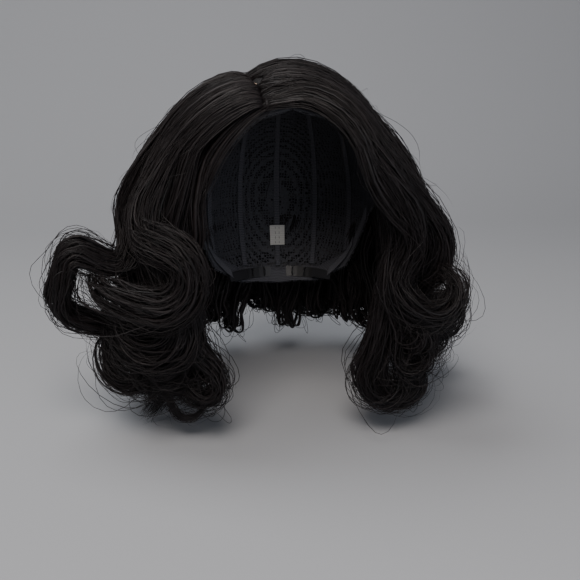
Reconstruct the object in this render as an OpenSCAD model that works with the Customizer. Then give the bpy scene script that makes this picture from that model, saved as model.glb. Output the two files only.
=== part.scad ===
// Curly synthetic costume wig: a stretch net cap with weft tracks, ear tabs and nape
// adjusters, and a side-parted head of wavy hair that ends in large rolled curls.
// The wig faces -Y and +Z is up. The origin is the centre of the head opening, level
// with the tops of the ears. Left and right are the wearer's: left is +X.

/* [Head] */
// Width of the head that the cap fits
head_w = 148; // [140:1:158]
// Length of that head, forehead to back
head_l = 186; // [176:1:198]
// Height of the crown above the ear tops
crown_h = 108; // [100:1:118]

/* [Cap] */
// Thickness of the net
net_t = 0.6; // [0.4:0.1:0.8]
// Thickness of each elastic sewn inside the net
elastic_t = 0.6; // [0.4:0.1:0.7]
// Thickness of the weft tracks and bindings sewn outside the net
track_t = 1.4; // [1:0.1:1.6]
// Height of a weft track, in degrees of latitude
track_h = 1.8; // [1.2:0.1:2.6]
// Width of the pale strip under the parting
parting_w = 9; // [6:0.5:12]
// Height of an ear tab, in degrees of latitude
tab_h = 16; // [12:1:18]

/* [Nape adjusters] */
// Radius of the wire of a loop
loop_wire_r = 0.5; // [0.4:0.1:0.6]
// Inner radius of a loop
loop_r = 2.7; // [2.5:0.1:3.2]
// Radius of the hook's finger
finger_r = 0.7; // [0.5:0.1:0.8]
// How far the elastic strap lets the hook be pulled towards the centre
hook_travel = 6; // [6:0.5:7]

/* [Hair] */
// Hair over the top of the crown
top_fill = 10; // [7:1:14]
// How far the hair stands out from the head at the ear, left side
left_out = 32; // [24:1:40]
// The same on the right side
right_out = 52; // [42:1:60]
// The same at the back
back_out = 34; // [26:1:42]
// Depth of the waves that run through the hair
wave_d = 4; // [2:0.5:5]
// Depth of the lowest curls below the ear tops
hair_drop = 138; // [128:1:148]
// Furthest that the side hair comes forward of the head's axis
hair_front = 76; // [66:1:84]

/* [Hidden] */
half_w = head_w / 2;
half_l = head_l / 2;
drop_h = crown_h + 12;
layer_gap = 0.4;
elastic_d = 0.2;
// The net is wider than the elastics at its flats as well as at its corners
net_gap = 0.7;
net_d = elastic_d + elastic_t + net_gap;
track_d = net_d + net_t + layer_gap;
patch_d = track_d + track_t + 0.2;
patch_t = 0.6;
hair_d = patch_d + patch_t + 0.5;
swing_d = hair_d + 0.8;

// The cap's edge: latitude against azimuth from the front
EDGE = [[0, 58], [30, 52], [48, 36], [58, 14], [63, 11.5], [81, 11.5], [86, 8], [100, 12],
    [112, 0], [128, -24], [150, -33], [180, -35]];
tab_mid = 72;
tab_half = 8;
tab_top = 10;

// Weft rows: latitude, and the azimuth where the row starts at each side
BACK_ROWS = [[-27, 146], [-20, 131], [-13, 125], [-6, 121], [1, 116], [8, 108]];
CROWN_ROWS = [[18, 60], [29, 55], [40, 48], [51, 38], [62, 0], [73, 0]];
RIBS = [130, 155, 180, 205, 230];

// The parting, seen from above: it runs back from the hairline and drifts to the right
part_front = [-19, -47];
part_back = [-29, 24];
part_slot = 3;

// The adjusters sit on the nape band
nape_t = -30;
loop_a = 150;
loop_count = 3;
loop_rest = 5;
// The hook comes to rest between two loops at the end of its travel
nape_arc = norm([half_w * cos(160), half_l * sin(160)]) * cos(nape_t) * PI / 180;
loop_step = (hook_travel + loop_rest) / nape_arc;
tape_half = 2.2;
// The loops and hooks lean with the head at the nape, a little less than it does
nape_tilt = atan(tan(-nape_t) * half_l / drop_h) - 2;
tape_d = elastic_d - 0.3;
plate_z = loop_r + 2 * loop_wire_r + 0.9;
plate_t = 1;
strap_lift = plate_z + 0.4;
finger_z = 1.5;
crook_x = 2.2;
tip_x = -4.6;

// Where the hair is divided into masses, by azimuth
side_from = 62;
side_to = 104;
back_from = 106;
back_mid = 150;
hinge_z = 14;
crown_low = 9;
top_t = 70;
curl_z = -62;

// How far each mass stands out, as a share of its flare, against height
LEFT_SHAPE = [[-138, 0.4], [-125, 1.5], [-105, 1.65], [-78, 1.4], [-50, 1.95], [-30, 1.15],
    [-12, 1.3], [14, 1]];
RIGHT_SHAPE = [[-138, 0.5], [-120, 1], [-92, 1.15], [-75, 1.75], [-40, 1.9], [-12, 1.6],
    [4, 1.15], [14, 1]];
BACK_SHAPE = [[-138, 0.5], [-110, 1.35], [-60, 1.5], [-20, 1.25], [14, 1]];
// The same over the crown, against latitude
CROWN_SHAPE = [[0, 1], [20, 0.75], [38, 0.45], [60, 0.2], [75, 0.05], [90, 0]];

HAIR = [0.13, 0.11, 0.12];
BLACK = [0.07, 0.07, 0.08];
ELASTIC = [0.16, 0.15, 0.16];
SKIN = [0.8, 0.66, 0.56];
LABEL = [0.88, 0.87, 0.84];

// Azimuth folded onto one side, from 0 at the front to 180 at the back
function fold(a) = abs(a > 180 ? a - 360 : a);
function edge(a) = lookup(fold(a), EDGE);
function smooth(x) = let (c = min(max(x, 0), 1)) c * c * (3 - 2 * c);

// A point over the head at azimuth a and latitude t, d off its surface
function over(a, t, d) = [
    (half_w + d) * cos(t) * sin(a),
    -(half_l + d) * cos(t) * cos(a),
    ((t < 0 ? drop_h : crown_h) + d) * sin(t)
];

// A point of the hair that hangs straight down round the head
function hang(a, z, d) = [
    (half_w + d) * sin(a),
    max(-(half_l + d) * cos(a), -hair_front),
    z
];

// A point over the crown above the plan point p
function above(p, d) = [
    p[0], p[1],
    (crown_h + d) * sqrt(1 - pow(p[0] / (half_w + d), 2) - pow(p[1] / (half_l + d), 2))
];

// How far the crown hair stands out, which differs at the sides, the front and the back
function crown_out(a, t) = let (
        rise = lookup(t, CROWN_SHAPE),
        side = a > 180 || a < 0 ? right_out : left_out,
        back = smooth((fold(a) - 90) / 60),
        front = smooth((70 - fold(a)) / 45),
        ear = side * (1 - back) + back_out * back
    )
    top_fill + rise * ear * (1 - 0.75 * front) + wave_d * 0.4 * sin(3 * t + 5 * a) * rise;

// How far the hanging hair stands out
function hang_out(a, z) = let (
        shape = a > 180 ? RIGHT_SHAPE : LEFT_SHAPE,
        side = (a > 180 ? right_out : left_out) * lookup(z, shape),
        back = smooth((fold(a) - 95) / 60)
    )
    side * (1 - back) + back_out * lookup(z, BACK_SHAPE) * back + wave_d * sin(8 * z + 6 * a);

// Two triangles for each four-sided face
function split(quads) = [for (q = quads) each [[q[0], q[1], q[2]], [q[0], q[2], q[3]]]];

// A closed slab between two grids of points with the same rows and columns
module slab(inner, outer) {
    ends = len(inner) - 1;
    tops = len(inner[0]) - 1;
    n = (ends + 1) * (tops + 1);
    in_at = function (i, j) i * (tops + 1) + j;
    out_at = function (i, j) n + in_at(i, j);
    quads = concat(
        [for (i = [0:ends - 1], j = [0:tops - 1]) each [
            [out_at(i, j), out_at(i, j + 1), out_at(i + 1, j + 1), out_at(i + 1, j)],
            [in_at(i, j), in_at(i + 1, j), in_at(i + 1, j + 1), in_at(i, j + 1)]]],
        [for (i = [0:ends - 1]) each [
            [out_at(i, 0), out_at(i + 1, 0), in_at(i + 1, 0), in_at(i, 0)],
            [out_at(i + 1, tops), out_at(i, tops), in_at(i, tops), in_at(i + 1, tops)]]],
        [for (j = [0:tops - 1]) each [
            [out_at(0, j + 1), out_at(0, j), in_at(0, j), in_at(0, j + 1)],
            [out_at(ends, j + 1), in_at(ends, j + 1), in_at(ends, j), out_at(ends, j)]]]
    );
    polyhedron([each each inner, each each outer], split(quads));
}

// A slab over the head, between two latitudes that may follow the azimuth
module over_head(a0, a1, na, low, high, nt, near, far) {
    grid = function (d) [for (i = [0:na]) let (a = a0 + (a1 - a0) * i / na)
        [for (j = [0:nt]) let (t = low(a) + (high(a) - low(a)) * j / nt) over(a, t, d(a, t))]];
    slab(grid(near), grid(far));
}

// A band of even thickness over the head
module band(a0, a1, low, high, d, thick, step = 6) {
    na = max(2, round((a1 - a0) / step));
    over_head(a0, a1, na, low, high, 1, function (a, t) d, function (a, t) d + thick);
}

// A closed dome over the crown, down to a latitude that follows the azimuth
module dome(sides, rows, low, near, far) {
    ring = function (d) [for (i = [0:sides - 1], j = [0:rows - 1])
        let (a = i * 360 / sides, t = low(a) + (90 - low(a)) * j / rows) over(a, t, d(a, t))];
    n = sides * rows;
    at = function (i, j) (i % sides) * rows + j;
    quads = [for (i = [0:sides - 1]) each concat(
        [for (j = [0:rows - 2]) each [
            [n + at(i, j), n + at(i, j + 1), n + at(i + 1, j + 1), n + at(i + 1, j)],
            [at(i, j), at(i + 1, j), at(i + 1, j + 1), at(i, j + 1)]]],
        [[n + at(i, 0), n + at(i + 1, 0), at(i + 1, 0), at(i, 0)]])];
    caps = [for (i = [0:sides - 1]) each [
        [n + at(i, rows - 1), 2 * n + 1, n + at(i + 1, rows - 1)],
        [at(i, rows - 1), at(i + 1, rows - 1), 2 * n]]];
    points = concat(ring(near), ring(far), [over(0, 90, near(0, 90)), over(0, 90, far(0, 90))]);
    polyhedron(points, concat(split(quads), caps));
}

// Mirrors what belongs to the right side
module sided(side) {
    mirror([side == "right" ? 1 : 0, 0, 0]) children();
}

// ---- Cap ----

module crown_net() {
    color(BLACK) dome(60, 16, function (a) edge(a), function (a, t) net_d,
        function (a, t) net_d + net_t);
}

// The pale strip that shows between the roots
module parting_patch() {
    along = part_back - part_front;
    across = [-along[1], along[0]] / norm(along);
    grid = function (d) [for (i = [0:3]) [for (j = [0:12])
        above(part_front + along * (0.03 + 0.97 * j / 12) - across * parting_w * (i / 3 - 0.5), d)]];
    color(SKIN) slab(grid(patch_d), grid(patch_d + patch_t));
}

module front_binding() {
    color(BLACK) band(-60, 60, function (a) edge(a), function (a) edge(a) + 3.2, track_d, track_t, 5);
}

module comfort_strip() {
    color(ELASTIC) band(-42, 42, function (a) edge(a) + 0.5, function (a) edge(a) + 8, elastic_d,
        elastic_t);
}

module ear_binding(side) {
    color(BLACK) sided(side) band(82, 112, function (a) edge(a), function (a) edge(a) + 3.2, track_d,
        track_t, 3);
}

module nape_band() {
    color(ELASTIC) band(114, 246, function (a) edge(a) + 0.3, function (a) edge(a) + 6.3, elastic_d,
        elastic_t, 4);
}

module back_rib(i) {
    mid = RIBS[i - 1];
    color(ELASTIC) over_head(mid - 1.8, mid + 1.8, 1, function (a) edge(a) + 7.4, function (a) 46, 14,
        function (a, t) elastic_d, function (a, t) elastic_d + elastic_t);
}

// One row of weft, sewn round the cap from one side to the other
module weft_track(row) {
    low = function (a) row[0] - track_h / 2;
    high = function (a) row[0] + track_h / 2;
    // A row that starts at the front centre leaves a gap under the parting
    start = row[1] > 0 ? row[1] : -10;
    end = row[1] > 0 ? 360 - row[1] : 300;
    color(BLACK) band(start, end, low, high, track_d, track_t);
}

module care_label() {
    color(LABEL) band(175, 185, function (a) -19, function (a) -11, elastic_d - 0.5, 0.3, 5);
}

// ---- Ear tabs: a lining, a bendable stay and a cover, sewn together ----

module ear_tab_layer(side, half, inset, d, thick) {
    bottom = function (a) tab_top - tab_h + inset + 0.5 * tab_h * pow((a - tab_mid) / tab_half, 2);
    color(BLACK) sided(side) over_head(tab_mid - half, tab_mid + half, 6, bottom,
        function (a) tab_top, 2, function (a, t) d, function (a, t) d + thick);
}

module ear_tab_lining(side) {
    ear_tab_layer(side, tab_half, 0, elastic_d, 0.6);
}

module ear_tab_stay(side) {
    ear_tab_layer(side, 1.6, 2, elastic_d + 0.8, 0.5);
}

module ear_tab_cover(side) {
    ear_tab_layer(side, tab_half, 0, elastic_d + 1.6, 0.6);
}

// ---- Nape adjusters: loops on a tape, and a hook on an elastic strap ----

// Children stand on the tape at azimuth a: x towards the back, z towards the head
module on_tape(a) {
    heading = atan2(half_l * sin(a), half_w * cos(a));
    translate(over(a, nape_t, tape_d - 0.6)) rotate([0, 0, heading])
        rotate([nape_tilt - 90, 0, 0]) children();
}

module adjuster_loops(side) {
    color(BLACK) sided(side) {
        band(loop_a - 6, loop_a + (loop_count - 1) * loop_step + 5, function (a) nape_t - tape_half,
            function (a) nape_t + tape_half, tape_d - 0.6, 0.6, 4.5);
        for (i = [0:loop_count - 1]) on_tape(loop_a + i * loop_step) rotate([0, -90, 0]) rotate([0, 0, -90])
            rotate_extrude(angle = 180, $fn = 24) translate([loop_r + loop_wire_r, 0])
                circle(loop_wire_r, $fn = 16);
    }
}

module adjuster_strap(side) {
    mid = function (a) lookup(a, [[124, -13], [128, -19], [134, -25], [140, nape_t]]);
    lift = function (a) lookup(a, [[124, 0.4], [127, 0.6], [138, strap_lift], [140, strap_lift]]);
    color(ELASTIC) sided(side) over_head(124, 138.5, 8, function (a) mid(a) - 1.8,
        function (a) mid(a) + 1.8, 1, function (a, t) -lift(a) - 0.8, function (a, t) -lift(a));
}

module adjuster_hook(side) {
    color(BLACK) sided(side) on_tape(loop_a) {
        translate([-15.5, -3.5, plate_z]) cube([15.5 + crook_x, 7, plate_t]);
        translate([crook_x, 0, finger_z]) cylinder(r = finger_r, h = plate_z - finger_z + 0.5, $fn = 16);
        translate([tip_x, 0, finger_z]) rotate([0, 90, 0])
            cylinder(r = finger_r, h = crook_x - tip_x, $fn = 16);
        translate([crook_x, 0, finger_z]) sphere(finger_r, $fn = 16);
        translate([tip_x, 0, finger_z]) sphere(finger_r, $fn = 16);
    }
}

// ---- Hair fixed to the crown ----

// The slot that the parting leaves in the hair
module parting_slot() {
    along = part_back - part_front;
    translate([part_front[0], part_front[1], 0]) rotate([0, 0, atan2(along[1], along[0])])
        translate([-20, -part_slot / 2, hinge_z + 40]) cube([norm(along) + 20, part_slot, 2 * crown_h]);
}

module crown_hair(a0, a1) {
    na = round((a1 - a0) / 7);
    color(HAIR) difference() {
        over_head(a0, a1, na, function (a) max(edge(a) + 0.5, crown_low), function (a) top_t - 0.8, 6,
            function (a, t) hair_d, function (a, t) hair_d + crown_out(a, t));
        parting_slot();
    }
}

module crown_hair_top() {
    color(HAIR) difference() {
        dome(36, 3, function (a) top_t, function (a, t) hair_d, function (a, t) hair_d + crown_out(a, t));
        parting_slot();
    }
}

module crown_hair_front(side) {
    if (side == "left") crown_hair(-26, side_from);
    if (side == "right") crown_hair(360 - side_from, 334);
}

module crown_hair_side(side) {
    if (side == "left") crown_hair(side_from, side_to);
    if (side == "right") crown_hair(360 - side_to, 360 - side_from);
}

module crown_hair_back(side) {
    if (side == "left") crown_hair(side_to, 180);
    if (side == "right") crown_hair(180, 360 - side_to);
}

// ---- Hair that hangs and swings ----

// A hanging mass between two azimuths and two heights; its top slopes down outwards
module hanging_hair(a0, a1, low, high, slope) {
    na = max(3, round((a1 - a0) / 7));
    nz = round((high - low) / 8);
    top = function (d) high - (high == hinge_z ? slope * (d - swing_d) : 0);
    column = function (a, near) [for (j = [0:nz])
        let (z = low + (high - low) * j / nz, out = swing_d + hang_out(a, z),
            d = near ? swing_d + (z < curl_z ? (curl_z - z) * 0.06 : 0) : out,
            zz = low + (top(d) - low) * j / nz)
        hang(a, zz, d)];
    color(HAIR) slab([for (i = [0:na]) column(a0 + (a1 - a0) * i / na, true)],
        [for (i = [0:na]) column(a0 + (a1 - a0) * i / na, false)]);
}

module side_hair(side, low, high) {
    if (side == "left") hanging_hair(side_from, side_to, low, high, 0.1);
    if (side == "right") hanging_hair(360 - side_to, 360 - side_from, low, high, 0.1);
}

module back_hair(side, low, high) {
    if (side == "left") hanging_hair(back_from, back_mid, low, high, 0.1);
    if (side == "centre") hanging_hair(back_mid, 360 - back_mid, low, high, 0.1);
    if (side == "right") hanging_hair(360 - back_mid, 360 - back_from, low, high, 0.1);
}

crown_net();
parting_patch();
front_binding();
comfort_strip();
nape_band();
care_label();
for (i = [1:len(RIBS)])
    back_rib(i);
for (i = [1:len(BACK_ROWS)])
    weft_track(BACK_ROWS[i - 1]);
for (i = [1:len(CROWN_ROWS)])
    weft_track(CROWN_ROWS[i - 1]);
for (s = ["left", "right"]) {
    ear_binding(s);
    ear_tab_lining(s);
    ear_tab_stay(s);
    ear_tab_cover(s);
    adjuster_loops(s);
    adjuster_strap(s);
    adjuster_hook(s);
    crown_hair_front(s);
    crown_hair_side(s);
    crown_hair_back(s);
    side_hair(s, curl_z, hinge_z);
    side_hair(s, -hair_drop, curl_z);
}
for (s = ["left", "centre", "right"]) {
    back_hair(s, curl_z, hinge_z);
    back_hair(s, -hair_drop, curl_z);
}
crown_hair_top();
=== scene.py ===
import math

import bmesh
import bpy
import numpy as np
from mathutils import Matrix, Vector


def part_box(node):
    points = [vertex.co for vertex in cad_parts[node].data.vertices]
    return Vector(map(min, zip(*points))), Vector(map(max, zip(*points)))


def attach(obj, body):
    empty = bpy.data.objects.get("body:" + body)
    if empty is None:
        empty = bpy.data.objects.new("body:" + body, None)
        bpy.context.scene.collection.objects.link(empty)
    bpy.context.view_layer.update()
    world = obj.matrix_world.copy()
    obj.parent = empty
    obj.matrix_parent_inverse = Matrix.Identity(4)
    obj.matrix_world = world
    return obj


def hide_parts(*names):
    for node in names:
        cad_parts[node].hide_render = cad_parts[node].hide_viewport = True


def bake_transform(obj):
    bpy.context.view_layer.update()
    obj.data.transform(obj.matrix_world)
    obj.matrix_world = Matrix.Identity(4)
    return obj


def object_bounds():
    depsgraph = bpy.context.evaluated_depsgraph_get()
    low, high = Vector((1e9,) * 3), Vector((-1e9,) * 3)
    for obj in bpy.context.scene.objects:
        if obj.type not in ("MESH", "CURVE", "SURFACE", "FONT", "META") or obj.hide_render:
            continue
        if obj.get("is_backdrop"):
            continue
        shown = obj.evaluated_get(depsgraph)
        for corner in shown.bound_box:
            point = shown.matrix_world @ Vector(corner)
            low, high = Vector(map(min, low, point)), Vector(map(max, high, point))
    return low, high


bl_info = {
    "name": "Curly costume wig",
    "version": (1, 0, 0),
    "blender": (4, 5, 0),
    "location": "View3D > Sidebar > Wig",
    "description": "Dresses the packed wig cap with its net, tapes and many curled locks of hair",
    "category": "Object",
}

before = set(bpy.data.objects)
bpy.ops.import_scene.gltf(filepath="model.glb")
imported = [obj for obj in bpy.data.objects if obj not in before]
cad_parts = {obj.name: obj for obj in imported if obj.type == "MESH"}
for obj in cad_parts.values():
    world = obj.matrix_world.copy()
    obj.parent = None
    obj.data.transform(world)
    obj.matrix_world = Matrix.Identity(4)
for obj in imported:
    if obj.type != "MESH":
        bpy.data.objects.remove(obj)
CAD_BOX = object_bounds()

MM = 0.001
SEED = 524
TURN = 6.283
GOLDEN_ANGLE = 2.399963
# A wave in the hair starts anywhere in its turn
PHASES = (0, 6.28)
# A piece of hair is closed off at about this many four-sided faces
MOST_FACES = 80000
# How far the net's outer face stands off the head, in millimetres
NET_OUTER = 2.1
NET_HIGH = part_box("crown_net")[1]
# The head inside the cap, from its centre to its side, its front and its top, in millimetres
HEAD = np.array([NET_HIGH.x, NET_HIGH.y, NET_HIGH.z]) / MM - NET_OUTER
# Below its centre the head is a little longer than above it
DROP = HEAD[2] + 12
# Loose hair keeps to the space of the imported hair, in millimetres, and passes it by a little
RIGHTMOST, NEAREST, LOWEST = np.array(CAD_BOX[0]) / MM - (8, 6, 7)
LEFTMOST, FARTHEST = np.array(CAD_BOX[1])[:2] / MM + (8, 6)
SOFT_PAST = 8

# How far each layer of the cap stands off the head, in millimetres
ELASTIC_D = 0.2
NET_D = 1.5
TRACK_D = 2.5
PATCH_D = 4.1
HAIR_D = 5.2
SIDE_ROOT_D = HAIR_D - 0.5

# How thick the elastics and the bindings are
ELASTIC_THICK = 0.6
TAPE_THICK = 1.4

# The cap's edge: azimuth from the front, and latitude
EDGE_A = (0, 30, 48, 58, 63, 81, 86, 100, 112, 128, 150, 180)
EDGE_T = (58, 52, 36, 14, 11.5, 11.5, 8, 12, 0, -24, -33, -35)

# Weft rows: latitude, and the azimuth where the row starts at each side. All angles are in degrees
BACK_ROWS = ((-27, 146), (-20, 131), (-13, 125), (-6, 121), (1, 116), (8, 108))
CROWN_ROWS = ((18, 60), (29, 55), (40, 48), (51, 38), (62, 0), (73, 0))
# The rows that start at 0 go round the top and leave out the parting
TOP_ROW_ENDS = (-10, 300)
# Half the height of a row, the height of a binding, and the ribs' middles, half width and top
ROW_HALF = 0.9
BINDING_H = 3.2
RIBS = (130, 155, 180, 205, 230)
RIB_HALF, RIB_TOP = 1.8, 46
# The ear tab: the azimuth of its middle, its half width, its top and its height
TAB_MID, TAB_HALF, TAB_TOP, TAB_H = 72, 8, 10, 16
# The adjuster strap: its ends, half width and thickness, and then its latitude and how deep it
# lies in the head's space, against azimuth
STRAP_ENDS, STRAP_HALF, STRAP_THICK = (124, 138.5), 1.8, 0.8
STRAP_A, STRAP_T = (124, 128, 134, 140), (-13, -19, -25, -30)
SUNK_A, SUNK_D = (124, 127, 138, 140), (0.4, 0.6, 5, 5)

# The parting in plan, from the hairline back
PART_FRONT = np.array([-19.0, -47.0])
PART_BACK = np.array([-29.0, 24.0])
PART_RUN = PART_BACK - PART_FRONT
PART_LENGTH = np.linalg.norm(PART_RUN)
PART_WAY = PART_RUN / PART_LENGTH
# Across the parting, towards the wearer's right
PART_ACROSS = np.array([-PART_WAY[1], PART_WAY[0]])
# Where the strip under the parting shows, as shares of its length
WINDOW_F = 0.44
WINDOW_HALF = 0.22

# The curls that show from the front. Each has its root as a share of the parting, its half width,
# its half thickness, and the points that it passes, in millimetres
RIGHT_CURLS = {
    "face_roll": (0.15, 13, 10, (
        (-76, -36, 74), (-92, -40, 46), (-100, -46, 24), (-99, -56, 8), (-86, -64, 3),
        (-75, -70, -3), (-70, -72, -14), (-74, -72, -31), (-89, -70, -42), (-107, -63, -42),
        (-125, -53, -38), (-138, -42, -31), (-138, -34, -20))),
    "box_loop": (0.6, 8, 9, (
        (-86, -5, 75), (-106, -8, 46), (-116, -12, 20), (-114, -20, -4), (-123, -28, -18),
        (-133, -31, -14), (-142, -34, -8), (-150, -35, -4), (-156, -35, -7), (-160, -34, -18),
        (-164, -32, -31), (-167, -29, -43), (-164, -25, -53), (-154, -19, -61), (-143, -12, -68),
        (-131, -4, -74), (-116, 6, -70))),
    "second_roll": (0.35, 12, 9, (
        (-81, -20, 76), (-97, -25, 44), (-99, -36, 10), (-90, -46, -22), (-81, -54, -41),
        (-77, -58, -58), (-81, -60, -72), (-95, -58, -81), (-111, -52, -79), (-119, -46, -69),
        (-113, -40, -58), (-101, -36, -61))),
    "low_outer": (0.75, 11, 8, (
        (-88, 0, 62), (-108, -5, 28), (-111, -14, -10), (-102, -24, -48), (-94, -34, -80),
        (-100, -40, -103), (-116, -36, -108), (-128, -28, -100), (-130, -20, -85),
        (-121, -12, -79))),
    "cheek": (0.0, 9, 6, (
        (-63, -48, 75), (-75, -50, 42), (-82, -48, 10), (-84, -44, -23), (-80, -44, -53),
        (-68, -46, -78), (-55, -48, -97), (-55, -48, -111), (-66, -46, -119), (-78, -42, -113),
        (-82, -38, -101))),
    "tuft": (0.9, 7, 6, (
        (-90, 20, 66), (-111, 25, 30), (-119, 22, -10), (-116, 15, -52), (-110, 4, -85),
        (-101, -6, -108), (-99, -12, -122), (-103, -15, -133), (-110, -18, -142))),
    "ringlet": (0.05, 1.8, 1.8, (
        (-72, -46, 74), (-84, -47, 40), (-88, -44, 0), (-91, -42, -50), (-92, -40, -94),
        (-91, -42, -112), (-88, -43, -126), (-81, -43, -134), (-72, -43, -134), (-66, -42, -128),
        (-64, -42, -118))),
    "lower_curl": (0.1, 11, 8, (
        (-73, -40, 74), (-86, -40, 30), (-89, -36, -14), (-84, -34, -53), (-74, -36, -83),
        (-70, -38, -100), (-82, -38, -112), (-95, -36, -107), (-98, -32, -97),
        (-91, -28, -93))),
}
LEFT_CURLS = {
    "swoop": (0.0, 12, 5, (
        (4, -49, 105), (32, -56, 96), (49, -61, 75), (57, -64, 50), (71, -60, 29), (82, -56, 12),
        (83, -52, -4), (77, -49, -19), (71, -47, -37), (68, -46, -59), (63, -45, -83),
        (57, -44, -103), (62, -44, -119), (75, -44, -126), (86, -42, -119), (85, -40, -108),
        (75, -38, -104))),
    "c_roll": (0.2, 13, 9, (
        (19, -39, 104), (39, -49, 86), (56, -56, 63), (71, -58, 41), (82, -56, 19), (86, -52, 1),
        (80, -50, -16), (77, -52, -32), (83, -56, -45), (95, -58, -53), (109, -56, -53),
        (118, -52, -45), (119, -48, -34), (113, -43, -25), (106, -40, -22))),
    "bulge": (0.4, 12, 8, (
        (32, -20, 102), (54, -28, 81), (73, -34, 56), (87, -36, 34), (99, -34, 17),
        (109, -32, -1), (110, -30, -18), (105, -28, -31), (94, -24, -41), (89, -20, -58),
        (93, -22, -75), (103, -24, -81), (109, -26, -89), (104, -26, -97), (97, -22, -97))),
    "low_lump": (0.7, 12, 8, (
        (40, 0, 96), (65, -4, 71), (81, -8, 44), (92, -10, 16), (98, -12, -14), (94, -14, -45),
        (89, -18, -74), (93, -22, -88), (101, -24, -94), (102, -24, -103), (94, -20, -109),
        (86, -16, -104))),
    "bottom_curl": (0.1, 12, 8, (
        (12, -47, 102), (38, -54, 90), (57, -60, 61), (74, -57, 33), (81, -53, 9),
        (78, -48, -16), (73, -44, -46), (68, -40, -77), (64, -40, -99), (69, -40, -117),
        (80, -38, -124), (91, -36, -116), (89, -34, -104), (79, -32, -100))),
    "outer_low": (0.9, 11, 7, (
        (44, 15, 94), (73, 15, 66), (92, 14, 36), (102, 12, -1), (102, 10, -35), (102, 6, -60),
        (107, 2, -72), (111, -2, -80), (108, -4, -89), (100, -4, -90))),
}


# ---- Colours and shader nodes ----

def linear(hex_colour):
    """A linear RGBA colour from an sRGB hex value."""
    parts = [int(hex_colour[i:i + 2], 16) / 255 for i in (1, 3, 5)]
    return tuple(c / 12.92 if c <= 0.04045 else ((c + 0.055) / 1.055) ** 2.4 for c in parts) + (1,)


def add_node(tree, kind, settings=None, links=None):
    """Adds a node with its settings and the sockets that feed it."""
    node = tree.nodes.new(kind)
    for key, value in (settings or {}).items():
        if isinstance(key, str) and hasattr(node, key):
            setattr(node, key, value)
        else:
            node.inputs[key].default_value = value
    for key, source in (links or {}).items():
        tree.links.new(source, node.inputs[key])
    return node


def new_material(name):
    """A material with a Principled shader: its tree and that shader."""
    material = bpy.data.materials.new(name)
    material.use_nodes = True
    shader = material.node_tree.nodes["Principled BSDF"]
    return material, material.node_tree, shader


# ---- Shapes over the head ----

def edge(a):
    """The latitude of the cap's edge at an azimuth."""
    folded = np.abs(np.where(a > 180, a - 360, a))
    return np.interp(folded, EDGE_A, EDGE_T)


def over(a, t, d):
    """Points over the head at azimuth a and latitude t, d off its surface."""
    a, t = np.radians(a), np.radians(t)
    high = np.where(t < 0, DROP, HEAD[2]) + d
    return np.stack([(HEAD[0] + d) * np.cos(t) * np.sin(a),
                     -(HEAD[1] + d) * np.cos(t) * np.cos(a), high * np.sin(t)], -1)


def ease(x):
    """Goes smoothly from 0 to 1 as x does."""
    x = np.clip(x, 0, 1)
    return x * x * (3 - 2 * x)


def unit(v):
    """Vectors brought to a length of 1."""
    return v / np.maximum(np.linalg.norm(v, axis=-1, keepdims=True), 1e-9)


def in_window(f):
    """1 where the pale strip shows between the roots, and 0 where hair closes over it."""
    return ease(1 - np.abs(np.asarray(f) - WINDOW_F) / WINDOW_HALF)


def crossing(f):
    """How far the left hair lies across the parting, behind the place where the strip shows."""
    return 5.5 * ease((np.asarray(f) - 0.55) / 0.25)


def crown_height(p, d):
    """The height of the crown over a point in plan, d off the head."""
    h = HEAD + d
    return h[2] * math.sqrt(1 - (p[0] / h[0]) ** 2 - (p[1] / h[1]) ** 2)


def on_part(f, side, d):
    """A point beside the parting, at a share f of its length, on one side of it."""
    off = side * (3.4 * in_window(f) - 0.9) - crossing(f)
    p = PART_FRONT + PART_RUN * f - PART_ACROSS * off
    return np.array([p[0], p[1], crown_height(p, d)])


def crown_arc(root, first, lift):
    """Points that follow the crown from a root to the first point of a curl."""
    n = 14
    a, b = root / HEAD, first / HEAD
    ra, rb = np.linalg.norm(a), np.linalg.norm(b)
    ua, ub = a / ra, b / rb
    angle = math.acos(np.clip(ua @ ub, -1, 1))
    t = np.arange(n)[:, None] / n
    way = (np.sin((1 - t) * angle) * ua + np.sin(t * angle) * ub) / math.sin(angle)
    # The hair rises from its root at once, and then follows the head
    r = ra + (rb - ra) * t ** 0.8 + lift * (1 - np.exp(-18 * t)) * (1 - t) ** 1.5
    return way * r * HEAD


def smooth_path(points, per=12):
    """A smooth curve through the points, with bends that suit the distance between them."""
    gap = np.linalg.norm(np.diff(points, axis=0), axis=1, keepdims=True)
    slope = np.diff(points, axis=0) / gap
    inner = (slope[:-1] * gap[1:] + slope[1:] * gap[:-1]) / (gap[1:] + gap[:-1])
    tangent = np.vstack([slope[:1], inner, slope[-1:]])
    t = np.arange(per)[:, None] / per
    out = []
    for i in range(len(points) - 1):
        bends = tangent[i] * (t ** 3 - 2 * t ** 2 + t) + tangent[i + 1] * (t ** 3 - t ** 2)
        out.append(points[i] * (2 * t ** 3 - 3 * t ** 2 + 1)
                   + points[i + 1] * (3 * t ** 2 - 2 * t ** 3) + gap[i] * bends)
    return np.vstack(out + [points[-1:]])


def held(x, limit, way):
    """Lets x pass a limit by SOFT_PAST at the most. The way is 1 upwards and -1 downwards."""
    past = way * (x - limit)
    return np.where(past > 0, limit + way * SOFT_PAST * np.tanh(past / SOFT_PAST), x)


def kept_in(lines):
    """Turns back the few hairs that would pass the wig's own size, all round and low down."""
    x, y, z = np.moveaxis(lines, -1, 0)
    return np.stack([held(held(x, LEFTMOST, 1), RIGHTMOST, -1),
                     held(held(y, FARTHEST, 1), NEAREST, -1), held(z, LOWEST, -1)], -1)


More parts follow.
